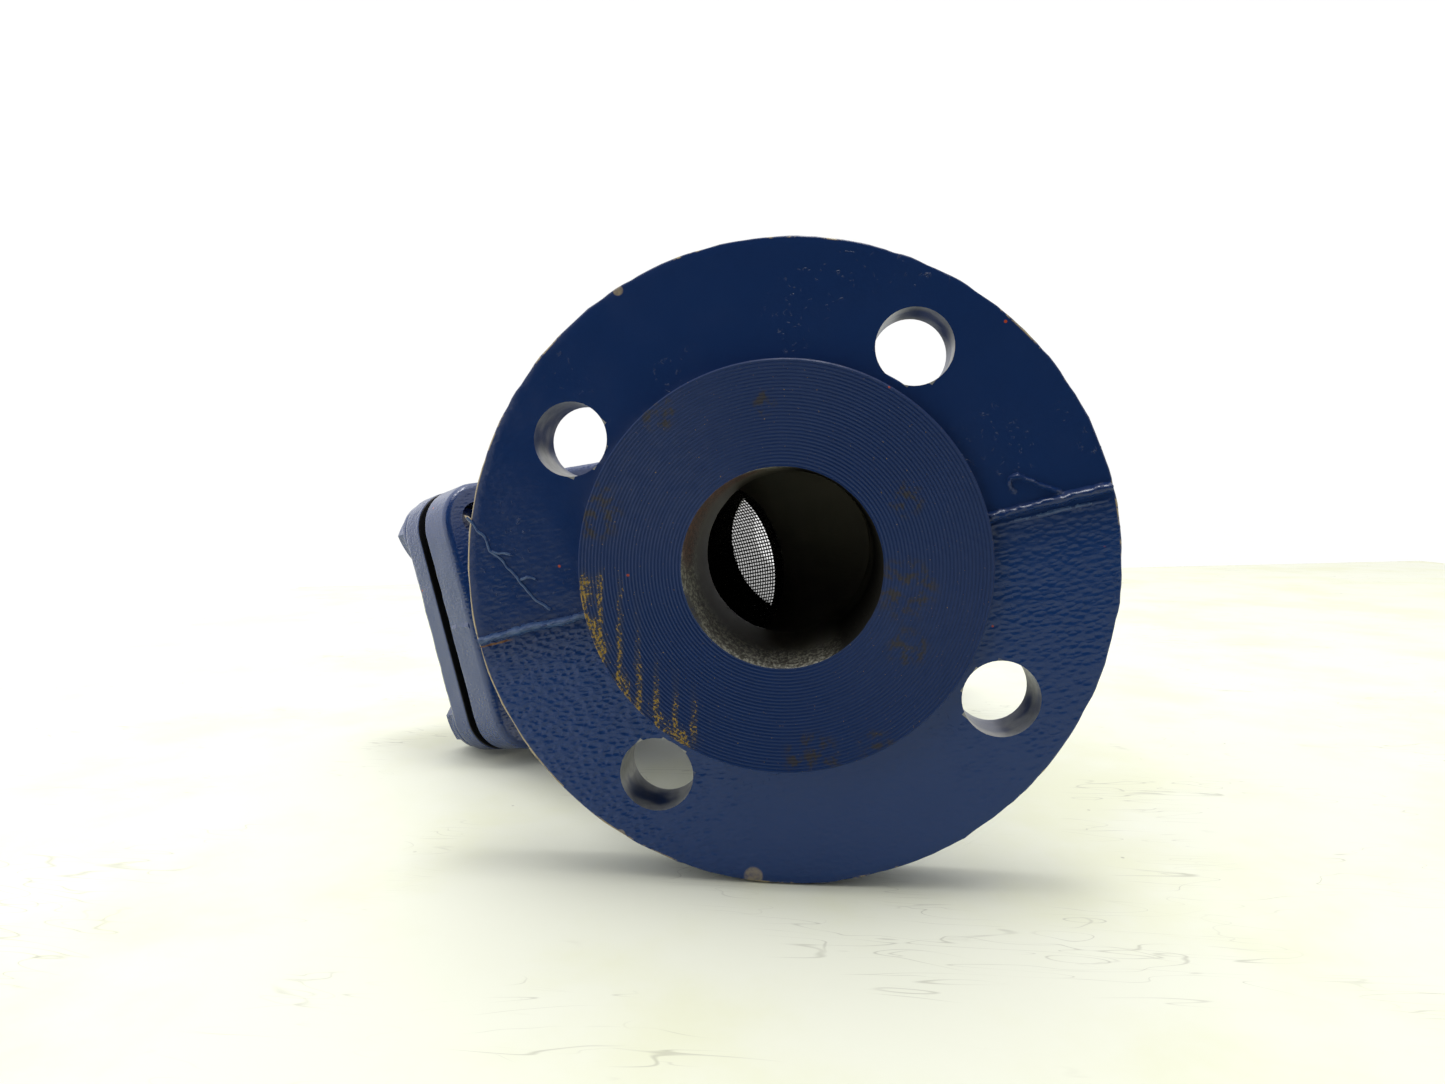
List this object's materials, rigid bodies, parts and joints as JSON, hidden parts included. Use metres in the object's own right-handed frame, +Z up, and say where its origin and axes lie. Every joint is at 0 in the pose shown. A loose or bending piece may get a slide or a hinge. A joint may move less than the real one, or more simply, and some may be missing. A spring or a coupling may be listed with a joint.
{
  "type": "y strainer",
  "caption": "Flanged Y strainer in blue-painted cast iron: a straight pipe body with a slanting leg that holds a mesh screen behind a bolted square cover.",
  "frame": {"origin": "on the ground under the middle of the object's box", "axes": "+Y along the pipe axis from inlet to outlet, +Z up, with the strainer lying on its two flange rims and a corner of its cover; the leg leans to -X, +Y and a little down"},
  "size_m": [0.2344, 0.23, 0.1628],
  "materials": {
    "painted_casting": "gloss paint over a rough casting",
    "painted_steel": "gloss paint over turned steel",
    "gasket": "matt fibre gasket",
    "screen_steel": "woven wire and spot-welded bands",
    "brass": "turned, dulled",
    "copper": "soft sealing ring"
  },
  "bodies": {
    "body_casting": {"strainer_body": "painted_casting"},
    "cover": {"cover": "painted_casting", "cover_gasket": "gasket"},
    "screen": {"screen_mesh": "screen_steel", "screen_top_band": "screen_steel", "screen_bottom_band": "screen_steel", "screen_seam_strip": "screen_steel"},
    "drain_plug": {"drain_plug": "brass", "drain_plug_seal": "copper"},
    "bolt_1": {"cover_bolt_1": "painted_steel", "cover_washer_1": "painted_steel"},
    "bolt_2": {"cover_bolt_2": "painted_steel", "cover_washer_2": "painted_steel"},
    "bolt_3": {"cover_bolt_3": "painted_steel", "cover_washer_3": "painted_steel"},
    "bolt_4": {"cover_bolt_4": "painted_steel", "cover_washer_4": "painted_steel"}
  },
  "joints": [
    {"name": "cover_off", "type": "slide", "parent": "body_casting", "child": "cover", "axis": [-0.7937, 0.5736, -0.2024], "range_m": [0, 0.21]},
    {"name": "screen_out", "type": "slide", "parent": "body_casting", "child": "screen", "axis": [-0.7937, 0.5736, -0.2024], "range_m": [0, 0.105]},
    {"name": "drain_plug_out", "type": "slide", "parent": "cover", "child": "drain_plug", "axis": [-0.7937, 0.5736, -0.2024], "range_m": [0, 0.04]},
    {"name": "bolt_1_out", "type": "slide", "parent": "cover", "child": "bolt_1", "axis": [-0.7937, 0.5736, -0.2024], "range_m": [0, 0.04]},
    {"name": "bolt_2_out", "type": "slide", "parent": "cover", "child": "bolt_2", "axis": [-0.7937, 0.5736, -0.2024], "range_m": [0, 0.04]},
    {"name": "bolt_3_out", "type": "slide", "parent": "cover", "child": "bolt_3", "axis": [-0.7937, 0.5736, -0.2024], "range_m": [0, 0.04]},
    {"name": "bolt_4_out", "type": "slide", "parent": "cover", "child": "bolt_4", "axis": [-0.7937, 0.5736, -0.2024], "range_m": [0, 0.04]}
  ],
  "couplings": [
    {"joint": "screen_out", "follows": "cover_off", "ratio": 0.5}
  ]
}
